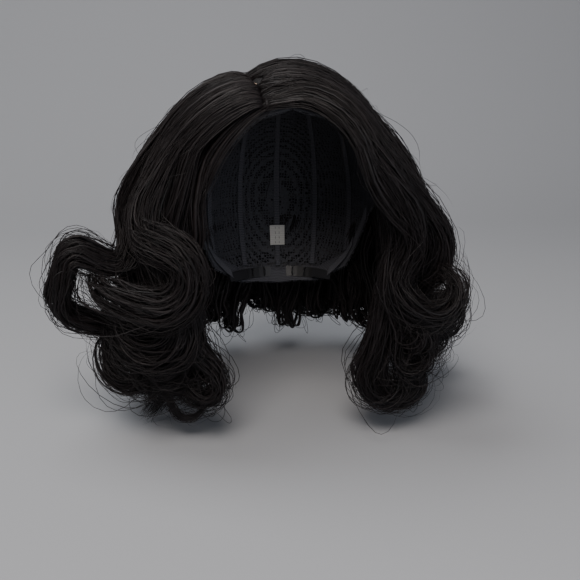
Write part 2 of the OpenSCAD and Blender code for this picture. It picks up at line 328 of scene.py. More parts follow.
def off_head(lines):
    """Lifts loose hairs clear of the head's space and of the ear tabs that fold into it."""
    clear = 5
    flat = lines[..., 0] * 0
    wall = np.stack([HEAD[0] + clear + flat, HEAD[1] + clear + flat,
                     np.where(lines[..., 2] < 0, DROP, HEAD[2]) + clear], -1)
    reach = np.linalg.norm(lines / wall, axis=-1, keepdims=True)
    return lines / np.clip(reach, 0.5, 1)


def beside_part(lines, side):
    """Keeps hair near the parting on its own side of it, and off the strip where that shows."""
    across = -PART_ACROSS * side
    flat = lines[..., :2] - PART_FRONT
    f, off = flat @ PART_WAY / PART_LENGTH, flat @ across
    # Away from the strip a few hairs of each side lie over the other side's roots
    least = 4.8 * in_window(f) - 1.2 - side * crossing(f)
    reach, crown_z = 12, 60
    near = ((off < reach) & (off > -reach) & (lines[..., 2] > crown_z)
            & (f > -0.3) & (f < 1.1))
    low = np.minimum(least, 0)
    kept = least + np.maximum(off - low, 0) * (reach - least) / (reach - low)
    moved = np.where(near, kept - off, 0)
    out = lines.copy()
    out[..., :2] += moved[..., None] * across
    return out


class Clump:
    """A bundle of hair: its middle line, and how far it reaches sideways and outwards."""

    # Two points of the middle line are at most this far apart, in millimetres and in degrees
    STEP, BEND = 14, 17
    FEWEST, MOST = 16, 40

    def __init__(self, root, points, width, thick, lift=0.03, share=1.0, side=0):
        points = np.array(points, float)
        self.side = side
        way = points if root is None else np.vstack([crown_arc(root, points[0], lift), points])
        way = smooth_path(way)
        step = np.linalg.norm(np.diff(way, axis=0), axis=1)
        heading = unit(np.diff(way, axis=0))
        bend = np.degrees(np.arccos(np.clip((heading[1:] * heading[:-1]).sum(1), -1, 1)))
        # Points stand closer together where the hair turns
        cost = step / self.STEP + np.append(bend, 0) / self.BEND
        total = np.concatenate([[0], np.cumsum(cost)])
        count = int(np.clip(total[-1] + 2, self.FEWEST, self.MOST))
        at = np.interp(np.linspace(0, total[-1], count), total, np.arange(len(way)))
        self.p = np.stack([np.interp(at, np.arange(len(way)), way[:, k]) for k in range(3)], 1)
        length = np.concatenate([[0], np.cumsum(step)])
        self.s = np.interp(at, np.arange(len(way)), length) / length[-1]
        self.t = unit(np.gradient(self.p, axis=0))
        normal = unit(self.p[0] / HEAD ** 2)
        normals = []
        for i in range(count):
            outward = unit(self.p[i] / HEAD ** 2)
            rooted = root is not None and self.s[i] < 0.6
            on_crown = ease((self.p[i][2] - 20) / 30) if rooted else 0
            normal = normal * (1 - on_crown) + outward * on_crown
            normal = unit(normal - self.t[i] * (normal @ self.t[i]))
            normals.append(normal)
        self.n = np.array(normals)
        self.b = np.cross(self.t, self.n)
        self.width, self.thick, self.share = width, thick, share
        self.rooted = root is not None

    def spread(self):
        """Half width and half thickness at each point."""
        at = (0, 0.06, 0.25, 0.5, 0.8, 0.93, 1)
        wide = ((0.55, 0.8, 1.15) if self.rooted else (0.9, 1, 1)) + (1, 0.85, 0.7, 0.4)
        deep = np.interp(self.s, at, (0.3, 0.5, 0.8, 1, 1, 0.8, 0.5)) * self.thick
        if self.rooted:
            flat = np.interp(self.s, at, (0.6, 1.6, 3.2, 4, 4, 4, 4))
            on_crown = ease((self.p[:, 2] - 20) / 50) * (self.s < 0.6)
            deep = deep + (np.minimum(deep, flat) - deep) * on_crown
        return self.width * np.interp(self.s, at, wide), deep

    def fibres(self, rng, u, v, frizz, stray=0.0):
        """Lines through the clump, one for each pair of offsets u and v."""
        wide, deep = self.spread()
        n = len(u)
        s = self.s[None, :]
        drift = rng.uniform(-0.35, 0.35, (2, n, 1)) * np.sin(
            s * rng.uniform(3, 8, (2, n, 1)) + rng.uniform(*PHASES, (2, n, 1)))
        across = (u[:, None] + drift[0]) * wide
        out = (v[:, None] + drift[1]) * deep
        # A thin bundle holds together better than a wide one
        growth = (frizz * (0.25 + 0.75 * s ** 1.5) + stray * s ** 2.2) * min(1, self.width / 8)

        def ripple(slowest, fastest):
            return np.sin(s * rng.uniform(slowest, fastest, (n, 1)) + rng.uniform(*PHASES, (n, 1)))

        loose = [growth * (ripple(6, 16) + 0.5 * ripple(18, 34)) for _ in range(3)]
        lines = (self.p[None] + self.b[None] * across[..., None]
                 + self.n[None] * out[..., None]) + np.stack(loose, -1)
        return kept_in(beside_part(lines, self.side) if self.side else lines)


# ---- Curves made into meshes ----

def ring(sides):
    """The corners of a round outline."""
    turns = [2 * math.pi * k / sides for k in range(sides)]
    return [(math.cos(turn), math.sin(turn)) for turn in turns]


def profile(name, points):
    """A small closed outline that hair is swept from: x across and y outwards."""
    data = bpy.data.curves.new(name, "CURVE")
    data.dimensions = "2D"
    spline = data.splines.new("POLY")
    spline.points.add(len(points) - 1)
    for point, (x, y) in zip(spline.points, points):
        point.co = (x, y, 0, 1)
    spline.use_cyclic_u = True
    obj = bpy.data.objects.new(name, data)
    bpy.context.scene.collection.objects.link(obj)
    return obj


def bisected(lines):
    """Directions at each point, as a curve's own bevel takes them."""
    d = unit(np.diff(lines, axis=1))
    out = np.empty_like(lines)
    out[:, 0], out[:, -1] = d[:, 0], d[:, -1]
    out[:, 1:-1] = unit(d[:, :-1] + d[:, 1:])
    return out


def tilts(lines, outward):
    """The tilt that turns the y of a swept outline to the outward direction."""
    d = bisected(lines)
    y = np.array([(-Vector(v)).to_track_quat("-Z", "Y") @ Vector((0, 1, 0)) for v in d[:, 0]])
    out = np.empty(lines.shape[:2])
    for i in range(lines.shape[1]):
        if i:
            turn = np.cross(d[:, i - 1], d[:, i])
            c = (d[:, i - 1] * d[:, i]).sum(1, keepdims=True)
            y = y * c + np.cross(turn, y) + turn * (turn * y).sum(1, keepdims=True) / (1 + c)
        want = unit(outward[:, i] - d[:, i] * (outward[:, i] * d[:, i]).sum(1, keepdims=True))
        out[:, i] = np.arctan2((d[:, i] * np.cross(y, want)).sum(1), (y * want).sum(1))
    return out


def sweep(name, outline, groups):
    """One mesh of many swept hairs. A group has lines in mm, radii in mm, tilts and shades."""
    data = bpy.data.curves.new(name, "CURVE")
    data.dimensions = "3D"
    data.twist_mode = "MINIMUM"
    data.bevel_mode = "OBJECT"
    data.bevel_object = outline
    sides = len(outline.data.splines[0].points)
    shade = []
    for lines, radii, tilt, shades in groups:
        for line, radius, lean, tone in zip(lines, radii, tilt, shades):
            spline = data.splines.new("POLY")
            n = len(line)
            spline.points.add(n - 1)
            spline.points.foreach_set("co", np.hstack([line * MM, np.ones((n, 1))]).ravel())
            spline.points.foreach_set("radius", radius * MM)
            spline.points.foreach_set("tilt", lean)
            shade.append(np.full(n * sides, tone))
    holder = bpy.data.objects.new(name, data)
    bpy.context.scene.collection.objects.link(holder)
    graph = bpy.context.evaluated_depsgraph_get()
    mesh = bpy.data.meshes.new_from_object(holder.evaluated_get(graph),
                                           preserve_all_data_layers=True, depsgraph=graph)
    bpy.data.objects.remove(holder)
    bpy.data.curves.remove(data)
    tones = mesh.attributes.new("shade", "FLOAT", "POINT")
    tones.data.foreach_set("value", np.concatenate(shade).astype(np.float32))
    bm = bmesh.new()
    bm.from_mesh(mesh)
    bmesh.ops.remove_doubles(bm, verts=bm.verts, dist=1e-7)
    bmesh.ops.recalc_face_normals(bm, faces=bm.faces)
    for face in bm.faces:
        face.smooth = True
    bm.to_mesh(mesh)
    bm.free()
    mesh.name = name
    mesh.materials.clear()
    obj = bpy.data.objects.new(name, mesh)
    bpy.context.scene.collection.objects.link(obj)
    return obj


def lock_group(clump, rng, count, half_width):
    """Flattened locks that fill a clump."""
    k = np.arange(count)
    r = np.sqrt((k + 0.5) / count) * 0.85
    turn = k * GOLDEN_ANGLE + rng.uniform(*PHASES)
    u, v = r * np.cos(turn), r * np.sin(turn)
    lines = clump.fibres(rng, u, v, 2.0, 1.0)
    lean = rng.uniform(-0.5, 0.5, (count, 1, 1)) * clump.b[None]
    tilt = tilts(lines, clump.n[None] + lean)
    size = half_width * rng.uniform(0.75, 1.25, (count, 1))
    taper = np.interp(clump.s, (0, 0.04, 0.3, 0.75, 0.92, 1), (0, 0.6, 1, 0.9, 0.55, 0))
    return lines, size * taper, tilt, rng.uniform(0, 1, count)


def strand_group(clump, rng, count, radius, frizz, stray, reach):
    """Single hairs through and round a clump."""
    r = np.sqrt(rng.uniform(0.25, 1, count)) * reach
    turn = rng.uniform(*PHASES, count)
    # A few hairs stray far, and most hardly at all
    stray = stray * np.minimum(rng.exponential(0.6, (count, 1)), 1.6)
    lines = clump.fibres(rng, r * np.cos(turn), r * np.sin(turn), frizz, stray)
    taper = np.interp(clump.s, (0, 0.02, 0.5, 0.9, 1), (0, 1, 1, 0.8, 0))
    radii = radius * rng.uniform(0.75, 1.25, (count, 1)) * taper
    return lines, radii, np.zeros(lines.shape[:2]), rng.uniform(0, 1, count)


def flyaway_group(clump, rng, count, radius):
    """Loose hairs that leave a clump part of the way down and curl on their own."""
    q = np.linspace(0, 1, 19)
    first = rng.uniform(0.06, 0.86, (count, 1))
    s = np.clip(first + rng.uniform(0.1, 0.4, (count, 1)) * q, 0, 1)
    middle, sideways, outward = (np.stack([np.interp(s, clump.s, v[:, k]) for k in range(3)], -1)
                                 for v in (clump.p, clump.b, clump.n))
    wide, deep = (np.interp(s, clump.s, v)[..., None] for v in clump.spread())
    turn = rng.uniform(*PHASES, (count, 1, 1))
    line = middle + sideways * np.cos(turn) * wide + outward * np.sin(turn) * deep
    away = np.minimum(rng.exponential(6, (count, 1)), 12) + 2
    drift = np.stack([away * q ** 1.4 * np.sin(q * rng.uniform(1.5, 5, (count, 1))
                                              + rng.uniform(*PHASES, (count, 1)))
                      for _ in range(3)], -1)
    coil = rng.uniform(0.3, 4, (count, 1)) * ease(q * 2)
    spin = q * rng.uniform(5, 15, (count, 1)) + rng.uniform(*PHASES, (count, 1))
    plane = unit(rng.normal(size=(2, count, 1, 3)))
    line = (line + drift + plane[0] * (coil * np.cos(spin))[..., None]
            + plane[1] * (coil * np.sin(spin))[..., None])
    taper = np.interp(q, (0, 0.1, 0.8, 1), (0, 1, 1, 0))
    radii = radius * rng.uniform(0.8, 1.3, (count, 1)) * taper
    line = kept_in(off_head(line))
    return line, radii, np.zeros(line.shape[:2]), rng.uniform(0, 1, count)


# ---- Where the hair grows ----

# At the back the hair of the left and the right side meets at this azimuth
MEETING_A = 186


def out_dir(a):
    """The level direction away from the head at an azimuth."""
    a = math.radians(a)
    v = np.array([math.sin(a) / HEAD[0], -math.cos(a) / HEAD[1], 0])
    return v / np.linalg.norm(v)


def falling(a, top_z, low_z, d0, d1, wave, phase, roll_r, turns, side_turn):
    """Points of hair that hangs in waves from a height and ends in a roll.

    It stands d0 off the head at its top and d1 at its end, in millimetres, and its roll starts
    outwards, turned by side_turn in radians.
    """
    out = out_dir(a)
    side = np.array([-out[1], out[0], 0])
    base = np.array([HEAD[0] * math.sin(math.radians(a)), -HEAD[1] * math.cos(math.radians(a)), 0])
    spacing = 14.0
    z = np.arange(top_z, low_z, -spacing)
    fallen = top_z - z
    lean = wave * np.sin(phase + fallen / 11.5)
    d = (d0 + (d1 - d0) * ease(fallen / (top_z - low_z))
         + 0.45 * wave * np.sin(phase * 1.7 + fallen / 13))
    pts = base + out * d[:, None] + side * lean[:, None]
    pts[:, 2] = z
    curl = unit(out * math.cos(side_turn) + side * math.sin(side_turn))
    centre = pts[-1] + curl * roll_r + np.array([0, 0, -6.0])
    swing = np.arange(0.35, turns * TURN, 0.62)
    r = roll_r * (1 - 0.3 * swing / TURN)
    roll = (centre - curl * (r * np.cos(swing))[:, None]
            + np.array([0, 0, -1.0]) * (r * np.sin(swing))[:, None]
            + np.cross(curl, (0, 0, 1)) * (swing * 0.9)[:, None])
    return np.vstack([pts, roll])


def crown_fills(rng, side):
    """Clumps that cover one side of the crown and hang under the curls."""
    clumps = []
    count = 9
    low, spread = (-80, 1) if side < 0 else (-66, 0.5)
    for k in range(count):
        f = (k + 0.5) / count
        a = (56 + 50 * f) * side
        d = 8 + rng.uniform(-1, 1)
        start = over(a, 34.0, d + 2)
        mid = over(a, 14.0, d + 2)
        down = falling(a, 6, low - rng.uniform(0, 18), d, d + (12 + 6 * f) * spread, 3.5,
                       rng.uniform(*PHASES), 12, 0.8, rng.uniform(-0.4, 0.4))
        clumps.append(Clump(on_part(f, side, SIDE_ROOT_D), np.vstack([start, mid, down]), 11, 4,
                            0.02, 0.7, side))
    return clumps


def side_under(rng, side):
    """Clumps from the low crown wefts, which fill the hair beside the face."""
    clumps = []
    # Each row's distance from the head and its lowest height
    rows = ((7, -64), (11, -82), (14, -94)) if side < 0 else ((6, -60), (9, -78), (11, -88))
    spread = 10 if side < 0 else 5
    for row, (d, low) in enumerate(rows):
        for k in range(5):
            a = (64 + 10 * k + 3 * row) * side
            start = over(a, 17.0 + 9 * row, HAIR_D + 1.5)
            down = falling(a, 4, low + rng.uniform(-8, 8), d, d + spread, 3.5,
                           rng.uniform(*PHASES), 11, 0.7, rng.uniform(-0.6, 0.6))
            clumps.append(Clump(None, np.vstack([start, down]), 10, 4, 0, 0.5))
    return clumps


def back_outer(rng):
    """Clumps that fan from the end of the parting over the back of the head."""
    clumps = []
    count = 15
    for k in range(count):
        a = 104 + k * 152 / (count - 1)
        side = 1 if a < MEETING_A else -1
        f = 0.88 + 0.12 * (1 - abs(a - 180) / 76)
        base_d, lift = (11, 0.03) if side > 0 else (13, 0.05)
        d = base_d + rng.uniform(-1.5, 1.5)
        start = over(a, 38.0, d)
        mid = over(a, 18.0, d + 3)
        down = falling(a, 8, -92 + rng.uniform(-8, 14), d + 4, d + 26, 6, rng.uniform(*PHASES),
                       rng.uniform(14, 19), 1.05, rng.uniform(-0.7, 0.7))
        clumps.append(Clump(on_part(f, side, HAIR_D), np.vstack([start, mid, down]), 14, 7,
                            lift, 1.0, side))
    return clumps


def back_middle(rng):
    """Clumps between the outer fan and the wefts."""
    clumps = []
    count = 13
    for k in range(count):
        a = 108 + k * 144 / (count - 1)
        side = 1 if a < MEETING_A else -1
        start = over(a, 45.0, 8.0)
        mid = over(a, 16.0, 11.0)
        down = falling(a, 6, -66 + rng.uniform(-10, 10), 12, 22, 5, rng.uniform(*PHASES),
                       rng.uniform(13, 16), 0.95, rng.uniform(-0.7, 0.7))
        clumps.append(Clump(on_part(0.97, side, HAIR_D), np.vstack([start, mid, down]), 13, 5,
                            0.01, 0.6))
    return clumps


def back_under(rng):
    """Clumps that hang from the weft rows at the nape, seen from inside the cap as well."""
    clumps = []
    count = 10
    for row, t in enumerate((-4, -17, -25)):
        for k in range(count):
            a = 116 + k * 128 / (count - 1) + 3 * (row % 2)
            start = over(a, float(max(t, edge(a) + 2)), HAIR_D + 1)
            down = falling(a, start[2] - 8, -96 + 10 * row + rng.uniform(-8, 8), 3 + 4 * row,
                           8 + 5 * row, 4, rng.uniform(*PHASES), 12, 0.8, rng.uniform(-0.6, 0.6))
            clumps.append(Clump(None, np.vstack([start, down]), 10, 4, 0, 0.5))
    return clumps


def hairline(side):
    """Fine hair that runs along the cap's front edge and hides the binding."""
    a = np.array([-14.0, -24, -34, -43, -50, -55, -58] if side < 0 else
                 [-4.0, 8, 20, 31, 41, 49, 55, 58])
    rim = over(a, edge(a) + 2.5, HAIR_D + 1.5)
    down = np.array([(70 * side, -46, 2), (73 * side, -44, -26), (71 * side, -43, -54),
                     (64 * side, -43, -80), (60 * side, -42, -98), (67 * side, -38, -108)])
    return Clump(on_part(0, side, SIDE_ROOT_D), np.vstack([rim, down]), 6, 4, 0.01, 0.8, side)


def named_curls(rng, curls, side):
    """Each curl that shows from the front: its main bundle, and two thinner ones beside it."""
    clumps = []
    lift = 0.045 if side < 0 else 0.03
    ringlet_width = 4
    for f, width, thick, points in curls.values():
        points = np.array(points, float)
        clumps.append(Clump(on_part(f, side, SIDE_ROOT_D), points, width, thick, lift, 1.0, side))
        way = np.linspace(0, 1, len(points))[:, None]
        for k in (-1, 1) if width > ringlet_width else ():
            shift = 6 * np.sin(way * rng.uniform(2, 5, 3) + rng.uniform(*PHASES, 3)) * (0.4 + way)
            beside = points + shift + np.array([0, 5.0 * k, 0]) * way
            root = on_part(np.clip(f + 0.07 * k, 0, 1), side, SIDE_ROOT_D)
            clumps.append(Clump(root, beside, width * 0.9, thick * 0.8, lift, 0.75, side))
    return clumps + [hairline(side)]


# ---- Materials ----

def hair_fibre(name, streaks, seed):
    """Modacrylic fibre, extruded and heat set: near black, soft sheen, a few brown lights."""
    material, tree, shader = new_material(name)
    uv = add_node(tree, "ShaderNodeUVMap", {"uv_map": "UVMap"})
    # The bevel's first coordinate runs round the lock, so one streak is a hair's pitch there
    scaled = add_node(tree, "ShaderNodeMapping",
                      {"Scale": (streaks, 2.2, 1), "Location": (seed, 0, 0)},
                      {"Vector": uv.outputs["UV"]})
    fine = add_node(tree, "ShaderNodeTexNoise", {"Scale": 1, "Detail": 3, "Roughness": 0.6},
                    {"Vector": scaled.outputs["Vector"]})
    tone = add_node(tree, "ShaderNodeAttribute", {"attribute_name": "shade"})
    mixed = add_node(tree, "ShaderNodeMath", {"operation": "ADD"},
                     {0: fine.outputs["Fac"], 1: tone.outputs["Fac"]})
    ramp = add_node(tree, "ShaderNodeValToRGB", None, {"Fac": mixed.outputs["Value"]})
    ramp.color_ramp.elements[0].position = 0.35
    ramp.color_ramp.elements[0].color = bpy.context.scene.wig_colours.hair_deep
    ramp.color_ramp.elements[1].position = 1.0
    ramp.color_ramp.elements[1].color = bpy.context.scene.wig_colours.hair_lit
    bump = add_node(tree, "ShaderNodeBump", {"Strength": 0.7, "Distance": 0.35 * MM},
                    {"Height": fine.outputs["Fac"]})
    tree.links.new(ramp.outputs["Color"], shader.inputs["Base Color"])
    tree.links.new(bump.outputs["Normal"], shader.inputs["Normal"])
    shader.inputs["Roughness"].default_value = 0.52
    shader.inputs["Specular IOR Level"].default_value = 0.26
    return material


def mm_pattern(tree, scale, turn=0.0):
    """UV coordinates in millimetres, scaled to repeats."""
    uv = add_node(tree, "ShaderNodeUVMap", {"uv_map": "UVMap"})
    return add_node(tree, "ShaderNodeMapping", {"Scale": (*scale, 1), "Rotation": (0, 0, turn)},
                    {"Vector": uv.outputs["UV"]}).outputs["Vector"]


def darker(tone, share):
    """A colour with its light cut to a share."""
    return tuple(c * share for c in tone[:3]) + (1,)


def cloth(name, tone, pitch, roughness, turn=0.0, strength=0.6, sheen=0.0):
    """A woven or knitted strip: ribs at a pitch in mm along and across, and a little fluff, with
    painted shade in the low places between the ribs.
    """
    material, tree, shader = new_material(name)
    ribs = add_node(tree, "ShaderNodeTexWave", {"wave_type": "BANDS", "bands_direction": "Y",
                                                "Scale": 0.314, "Distortion": 0.4, "Detail": 1},
                    {"Vector": mm_pattern(tree, (1 / pitch[1], 1 / pitch[1]), turn)})
    warps = add_node(tree, "ShaderNodeTexWave", {"wave_type": "BANDS", "bands_direction": "X",
                                                 "Scale": 0.314, "Distortion": 0.4, "Detail": 1},
                     {"Vector": mm_pattern(tree, (1 / pitch[0], 1 / pitch[0]), turn)})
    fluff = add_node(tree, "ShaderNodeTexNoise", {"Scale": 1.6, "Detail": 4},
                     {"Vector": mm_pattern(tree, (1, 1))})
    weave = add_node(tree, "ShaderNodeMath", {"operation": "MULTIPLY"},
                     {0: ribs.outputs["Fac"], 1: warps.outputs["Fac"]})
    height = add_node(tree, "ShaderNodeMath", {"operation": "MULTIPLY_ADD", 1: 0.3},
                      {0: fluff.outputs["Fac"], 2: weave.outputs["Value"]})
    # Painted shade: the colour drops to a fifth of the tone, or seven tenths on pale cloth, where
    # the weave is low between the threads; the fluff adds a little random tone
    ramp = add_node(tree, "ShaderNodeValToRGB", None, {"Fac": height.outputs["Value"]})
    ramp.color_ramp.elements[0].color = darker(tone, 0.2 if tone[0] < 0.3 else 0.7)
    ramp.color_ramp.elements[1].color = tone
    ramp.color_ramp.elements[0].position = 0.1
    bump = add_node(tree, "ShaderNodeBump", {"Strength": strength, "Distance": 0.25 * MM},
                    {"Height": height.outputs["Value"]})
    tree.links.new(ramp.outputs["Color"], shader.inputs["Base Color"])
    tree.links.new(bump.outputs["Normal"], shader.inputs["Normal"])
    shader.inputs["Roughness"].default_value = roughness
    shader.inputs["Sheen Weight"].default_value = sheen
    return material


def stretch_net():
    """Nylon net, warp knitted and heat set: open cells between fine matt threads."""
    material, tree, shader = new_material("warp_knitted_nylon_net")
    place = add_node(tree, "ShaderNodeTexCoord")
    # Real cells are about 1.2 mm, and these are the smallest that still show as holes
    cell = 2.2 * MM
    cells = add_node(tree, "ShaderNodeTexVoronoi",
                     {"feature": "DISTANCE_TO_EDGE", "Scale": 1 / cell, "Randomness": 0.45},
                     {"Vector": place.outputs["Object"]})
    thread = add_node(tree, "ShaderNodeMath", {"operation": "LESS_THAN", 1: 0.13},
                      {0: cells.outputs["Distance"]})
    noise = add_node(tree, "ShaderNodeTexNoise", {"Scale": 900, "Detail": 2},
                     {"Vector": place.outputs["Object"]})
    ramp = add_node(tree, "ShaderNodeValToRGB", None, {"Fac": noise.outputs["Fac"]})
    ramp.color_ramp.elements[0].color = darker(bpy.context.scene.wig_colours.net, 0.2)
    ramp.color_ramp.elements[1].color = bpy.context.scene.wig_colours.net
    bump = add_node(tree, "ShaderNodeBump", {"Strength": 0.5, "Distance": 0.2 * MM},
                    {"Height": noise.outputs["Fac"]})
    tree.links.new(ramp.outputs["Color"], shader.inputs["Base Color"])
    tree.links.new(thread.outputs["Value"], shader.inputs["Alpha"])
    tree.links.new(bump.outputs["Normal"], shader.inputs["Normal"])
    shader.inputs["Roughness"].default_value = 0.75
    return material


def skin_strip():
    """Monofilament gauze under a thin skin-coloured film, with the knots of the roots."""
    material, tree, shader = new_material("skin_monofilament")
    place = add_node(tree, "ShaderNodeTexCoord")
    knot_gap = 1.3 * MM
    knots = add_node(tree, "ShaderNodeTexVoronoi", {"Scale": 1 / knot_gap, "Randomness": 0.5},
                     {"Vector": place.outputs["Object"]})
    ramp = add_node(tree, "ShaderNodeValToRGB", None, {"Fac": knots.outputs["Distance"]})
    ramp.color_ramp.elements[0].position = 0.12
    ramp.color_ramp.elements[0].color = darker(bpy.context.scene.wig_colours.skin, 0.25)
    ramp.color_ramp.elements[1].position = 0.26
    ramp.color_ramp.elements[1].color = bpy.context.scene.wig_colours.skin
    bump = add_node(tree, "ShaderNodeBump", {"Strength": 0.5, "Distance": 0.2 * MM},
                    {"Height": knots.outputs["Distance"]})
    tree.links.new(ramp.outputs["Color"], shader.inputs["Base Color"])
    tree.links.new(bump.outputs["Normal"], shader.inputs["Normal"])
    shader.inputs["Roughness"].default_value = 0.6
    shader.inputs["Subsurface Weight"].default_value = 0.1
    shader.inputs["Subsurface Scale"].default_value = 0.6 * MM
    return material


def hard_part(name, tone, roughness, metallic=0.0):
    """Moulded or coated hardware: a fine grain in its gloss, and paler on its sharp convex edges.
    """
    material, tree, shader = new_material(name)
    place = add_node(tree, "ShaderNodeTexCoord")
    noise = add_node(tree, "ShaderNodeTexNoise", {"Scale": 700, "Detail": 4},
                     {"Vector": place.outputs["Object"]})
    gloss = add_node(tree, "ShaderNodeMapRange",
                     {"To Min": roughness - 0.08, "To Max": roughness + 0.12},
                     {"Value": noise.outputs["Fac"]})
    shape = add_node(tree, "ShaderNodeNewGeometry")
    # Paler where the surface is sharply convex, by the mesh's pointiness
    ramp = add_node(tree, "ShaderNodeValToRGB", None, {"Fac": shape.outputs["Pointiness"]})
    ramp.color_ramp.elements[0].position = 0.48
    ramp.color_ramp.elements[0].color = tone
    ramp.color_ramp.elements[1].position = 0.6
    ramp.color_ramp.elements[1].color = tuple(min(1, c * 1.9) for c in tone[:3]) + (1,)
    bump = add_node(tree, "ShaderNodeBump", {"Strength": 0.15, "Distance": 0.1 * MM},
                    {"Height": noise.outputs["Fac"]})
    tree.links.new(ramp.outputs["Color"], shader.inputs["Base Color"])
    tree.links.new(gloss.outputs["Result"], shader.inputs["Roughness"])
    tree.links.new(bump.outputs["Normal"], shader.inputs["Normal"])
    shader.inputs["Metallic"].default_value = metallic
    return material


# ---- Sizes and colours ----

def colour(label, note, hex_colour):
    """A colour that a user can change."""
    return bpy.props.FloatVectorProperty(name=label, description=note, subtype="COLOR", size=4,
                                         min=0, max=1, default=linear(hex_colour))


class WigColours(bpy.types.PropertyGroup):
    """The colours of the wig and of the paper behind it."""

    hair_deep: colour("Hair", "Near-black of the fibre", "#070607")
    hair_lit: colour("Hair lights", "Brown of the few lighter fibres", "#191415")
    net: colour("Net", "Thread of the stretch net", "#46464c")
    tape: colour("Tape", "Woven bindings and the thread that sews them", "#34343a")
    weft: colour("Weft", "Folded head of the weft rows", "#2a2627")
    elastic: colour("Elastic", "Bands, ribs and adjuster straps", "#5c5c64")
    tricot: colour("Tricot", "Brushed cloth of the ear tabs and the comfort strip", "#38363a")
    skin: colour("Parting strip", "Skin colour of the strip under the parting", "#d8bca6")
    label: colour("Care label", "Blank satin label", "#cfccc4")
    metal: colour("Stay", "Soft metal strip in the ear tab", "#b9babd")
    hardware: colour("Hooks and loops", "Coated wire and moulded plastic", "#19191b")
    sweep: colour("Paper sweep", "Floor and backdrop", "#9b9da1")


class WigHairSizes(bpy.types.PropertyGroup):
    """How coarse the drawn hair is."""

    lock_half_width: bpy.props.FloatProperty(
        name="Lock half width", description="Half the width of one flattened lock, in millimetres",
        default=1.6, min=1, max=6, unit="NONE")
    strand_radius: bpy.props.FloatProperty(
        name="Strand radius", description="Radius of one drawn strand, in millimetres",
        default=0.27, min=0.1, max=0.6, unit="NONE")
    flyaway_radius: bpy.props.FloatProperty(
        name="Flyaway radius", description="Radius of one loose hair, in millimetres",
        default=0.13, min=0.05, max=0.4, unit="NONE")


# ---- Pieces ----

def hair_pieces(region, clumps, seed, nodes):
    """Adds the locks, the strands and the flyaways of one region."""
    sizes = bpy.context.scene.wig_hair
    rng = np.random.default_rng(seed)
    # An outline of a lock is wide along x and thin along y
    lock_outline = profile(region + "_lock_outline", [(1, 0), (0, 0.5), (-1, 0), (0, -0.5)])
    strand_outline = profile(region + "_strand_outline", ring(3))
    locks, strands, flyaways = [], [], []
    for clump in clumps:
        locks.append(lock_group(clump, rng, round(24 * clump.share ** 1.5),
                                sizes.lock_half_width))
        strands.append(strand_group(clump, rng, round(50 * clump.share ** 1.6),
                                    sizes.strand_radius, 2.6, 8, 1.25))
        # Loose hairs leave the outer bundles only
        if clump.share > 0.65:
            flyaways.append(flyaway_group(clump, rng, round(42 * clump.share),
                                          sizes.flyaway_radius))
    solid = hair_fibre(region + "_locks_modacrylic", 14, seed)
    single = hair_fibre(region + "_strands_modacrylic", 3, seed)
    made = []
    for word, outline, groups, material in (("locks", lock_outline, locks, solid),
                                            ("strands", strand_outline, strands, single),
                                            ("flyaways", strand_outline, flyaways, single)):
        sides = len(outline.data.splines[0].points)
        batch, faces, number = [], 0, 1
        for k, group in enumerate(groups):
            batch.append(group)
            faces += group[0].shape[0] * (group[0].shape[1] - 1) * sides
            if faces > MOST_FACES or k == len(groups) - 1:
                obj = sweep(f"{region}_{word}_{number}", outline, batch)
                obj.data.materials.append(material)
                made.append(obj)
                batch, faces, number = [], 0, number + 1
    for outline in (lock_outline, strand_outline):
        bpy.data.objects.remove(outline)
    for obj in made:
        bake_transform(obj)
        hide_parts(*nodes)
    print(region, len(made), "pieces", sum(len(obj.data.polygons) for obj in made), "faces")


class WIG_OT_side_hair(bpy.types.Operator):
    """Adds the waves and rolled curls on both sides of the face."""

    bl_idname = "wig.side_hair"
    bl_label = "Side hair"

    def execute(self, context):
        rng = np.random.default_rng(SEED)
        for side, curls, word in ((-1, RIGHT_CURLS, "right"), (1, LEFT_CURLS, "left")):
            clumps = named_curls(rng, curls, side) + crown_fills(rng, side) + side_under(rng, side)
            hair_pieces("side_hair_" + word, clumps, SEED + side,
                        [f"side_hair_{part}_{word}" for part in ("waves", "curls")])
        return {"FINISHED"}


class WIG_OT_back_hair(bpy.types.Operator):
    """Adds the waves and rolled curls round the back of the head."""

    bl_idname = "wig.back_hair"
    bl_label = "Back hair"

    def execute(self, context):
        rng = np.random.default_rng(SEED + 7)
        clumps = back_outer(rng) + back_middle(rng) + back_under(rng)
        hair_pieces("back_hair", clumps, SEED + 9,
                    [f"back_hair_{part}_{word}" for part in ("waves", "curls")
                     for word in ("left", "centre", "right")])
        return {"FINISHED"}


